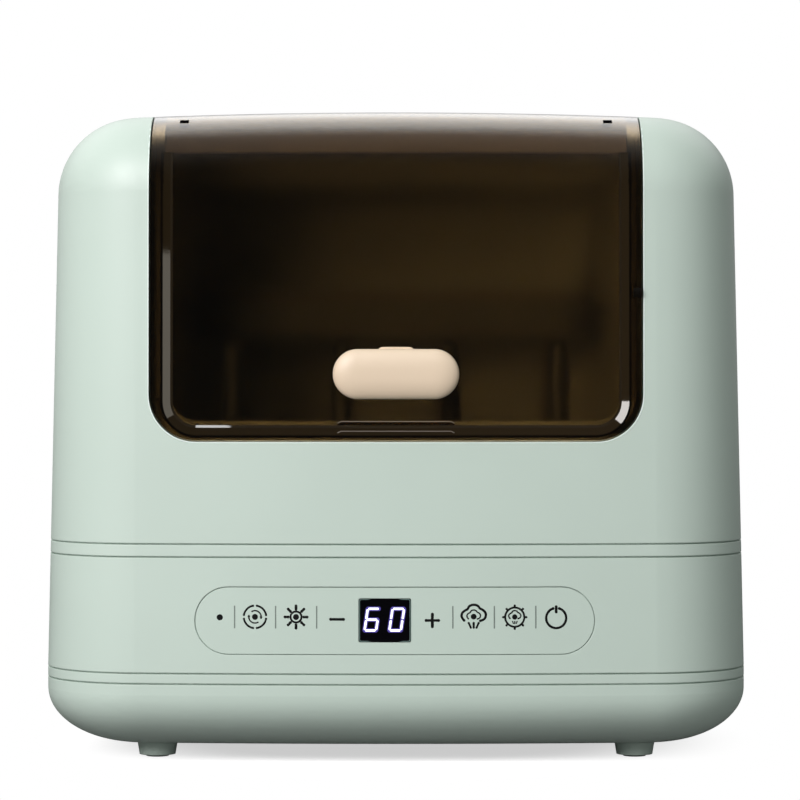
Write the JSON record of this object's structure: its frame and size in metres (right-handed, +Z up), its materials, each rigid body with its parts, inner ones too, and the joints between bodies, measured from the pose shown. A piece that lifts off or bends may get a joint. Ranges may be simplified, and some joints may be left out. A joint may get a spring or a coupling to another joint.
{
  "type": "baby bottle sterilizer",
  "caption": "Rounded box steam sterilizer and dryer for baby bottles, with a tinted lid that flips up over the front and top, a touch panel belt and a heated chamber.",
  "frame": {"origin": "middle of the footprint on the surface it stands on, at the feet's underside", "axes": "+X to the right seen from the front, +Y to the back, +Z up"},
  "size_m": [0.348, 0.295, 0.3214],
  "materials": {
    "casing_plastic": "satin moulded ABS, pale mint",
    "inner_plastic": "unpainted moulded plastic",
    "liner_plastic": "fine satin moulded plastic",
    "rack_plastic": "smooth food-safe polypropylene",
    "lid_tint": "polished tinted plastic, brown",
    "handle_cream": "satin cream plastic",
    "silicone": "moulded silicone",
    "foot_rubber": "moulded rubber",
    "gland_rubber": "moulded rubber bush",
    "pan_steel": "pressed and brushed",
    "screw_steel": "zinc plated",
    "spring_steel": "plain spring steel",
    "magnet_steel": "nickel plated magnet",
    "cast_alloy": "as cast",
    "element_black": "black moulded plastic",
    "fuse_ceramic": "unglazed",
    "bush_brass": "sintered",
    "motor_can": "rolled steel can",
    "duct_plastic": "heat-proof plastic",
    "heater_alloy": "folded fins",
    "filter_foam": "open foam",
    "window_black": "polished black",
    "display_body": "digit block",
    "lamp_lens": "smoked lens",
    "board_green": "coated board",
    "parts_black": "component cases"
  },
  "bodies": {
    "housing": {"base_dish": "casing_plastic", "lower_trim_ring": "casing_plastic", "control_belt": "casing_plastic", "upper_trim_ring": "casing_plastic", "upper_housing": "casing_plastic", "rear_louvre": "casing_plastic", "chassis_plate": "inner_plastic", "chamber_liner": "liner_plastic", "foot_pads": "foot_rubber", "housing_screws": "screw_steel", "liner_screws": "screw_steel", "hinge_pins": "spring_steel", "hinge_dampers": "element_black", "catch_magnet": "magnet_steel", "lid_switch": "element_black", "heating_pan": "pan_steel", "pan_seal": "silicone", "heater_ring": "cast_alloy", "thermostat": "element_black", "thermal_fuse": "fuse_ceramic", "heater_clamp": "spring_steel", "clamp_screws": "screw_steel", "blower_scroll": "inner_plastic", "blower_cap": "inner_plastic", "motor_bush": "bush_brass", "fan_motor": "motor_can", "blower_screws": "screw_steel", "air_duct": "duct_plastic", "air_heater": "heater_alloy", "filter_housing": "inner_plastic", "control_overlay": "casing_plastic", "display_window": "window_black", "display_module": "display_body", "indicator_lamp": "lamp_lens", "control_board": "board_green", "touch_springs": "spring_steel", "board_screws": "screw_steel", "power_board": "board_green", "power_screws": "screw_steel", "power_parts": "parts_black", "cord_gland": "gland_rubber"},
    "lid": {"lid_cover": "lid_tint", "lid_seal": "silicone", "lid_catch": "spring_steel", "switch_magnet": "magnet_steel", "handle_grip": "handle_cream", "handle_neck": "handle_cream", "handle_screws": "screw_steel"},
    "fan": {"fan_impeller": "element_black", "fan_shaft": "spring_steel"},
    "steam_cover": {"steam_cover": "rack_plastic"},
    "rack": {"bottle_rack": "rack_plastic", "rack_pegs": "rack_plastic"},
    "tray": {"accessory_tray": "rack_plastic"},
    "filter": {"filter_cover": "casing_plastic", "filter_pad": "filter_foam"}
  },
  "joints": [
    {"name": "lid_hinge", "type": "hinge", "parent": "housing", "child": "lid", "pos_m": [0, 0.048, 0.3114], "axis": [-1, 0, 0], "range_deg": [0, 88]},
    {"name": "fan_spin", "type": "hinge", "parent": "housing", "child": "fan", "pos_m": [-0.046, 0.084, 0.06], "axis": [0, 0, 1], "continuous": true},
    {"name": "cover_lift", "type": "slide", "parent": "housing", "child": "steam_cover", "axis": [0, 0, 1], "range_m": [0, 0.012]},
    {"name": "rack_lift", "type": "slide", "parent": "steam_cover", "child": "rack", "axis": [0, 0, 1], "range_m": [0, 0.035]},
    {"name": "tray_lift", "type": "slide", "parent": "housing", "child": "tray", "axis": [0, 0, 1], "range_m": [0, 0.03]},
    {"name": "filter_pull", "type": "slide", "parent": "housing", "child": "filter", "axis": [0, 1, 0], "range_m": [0, 0.025]}
  ]
}
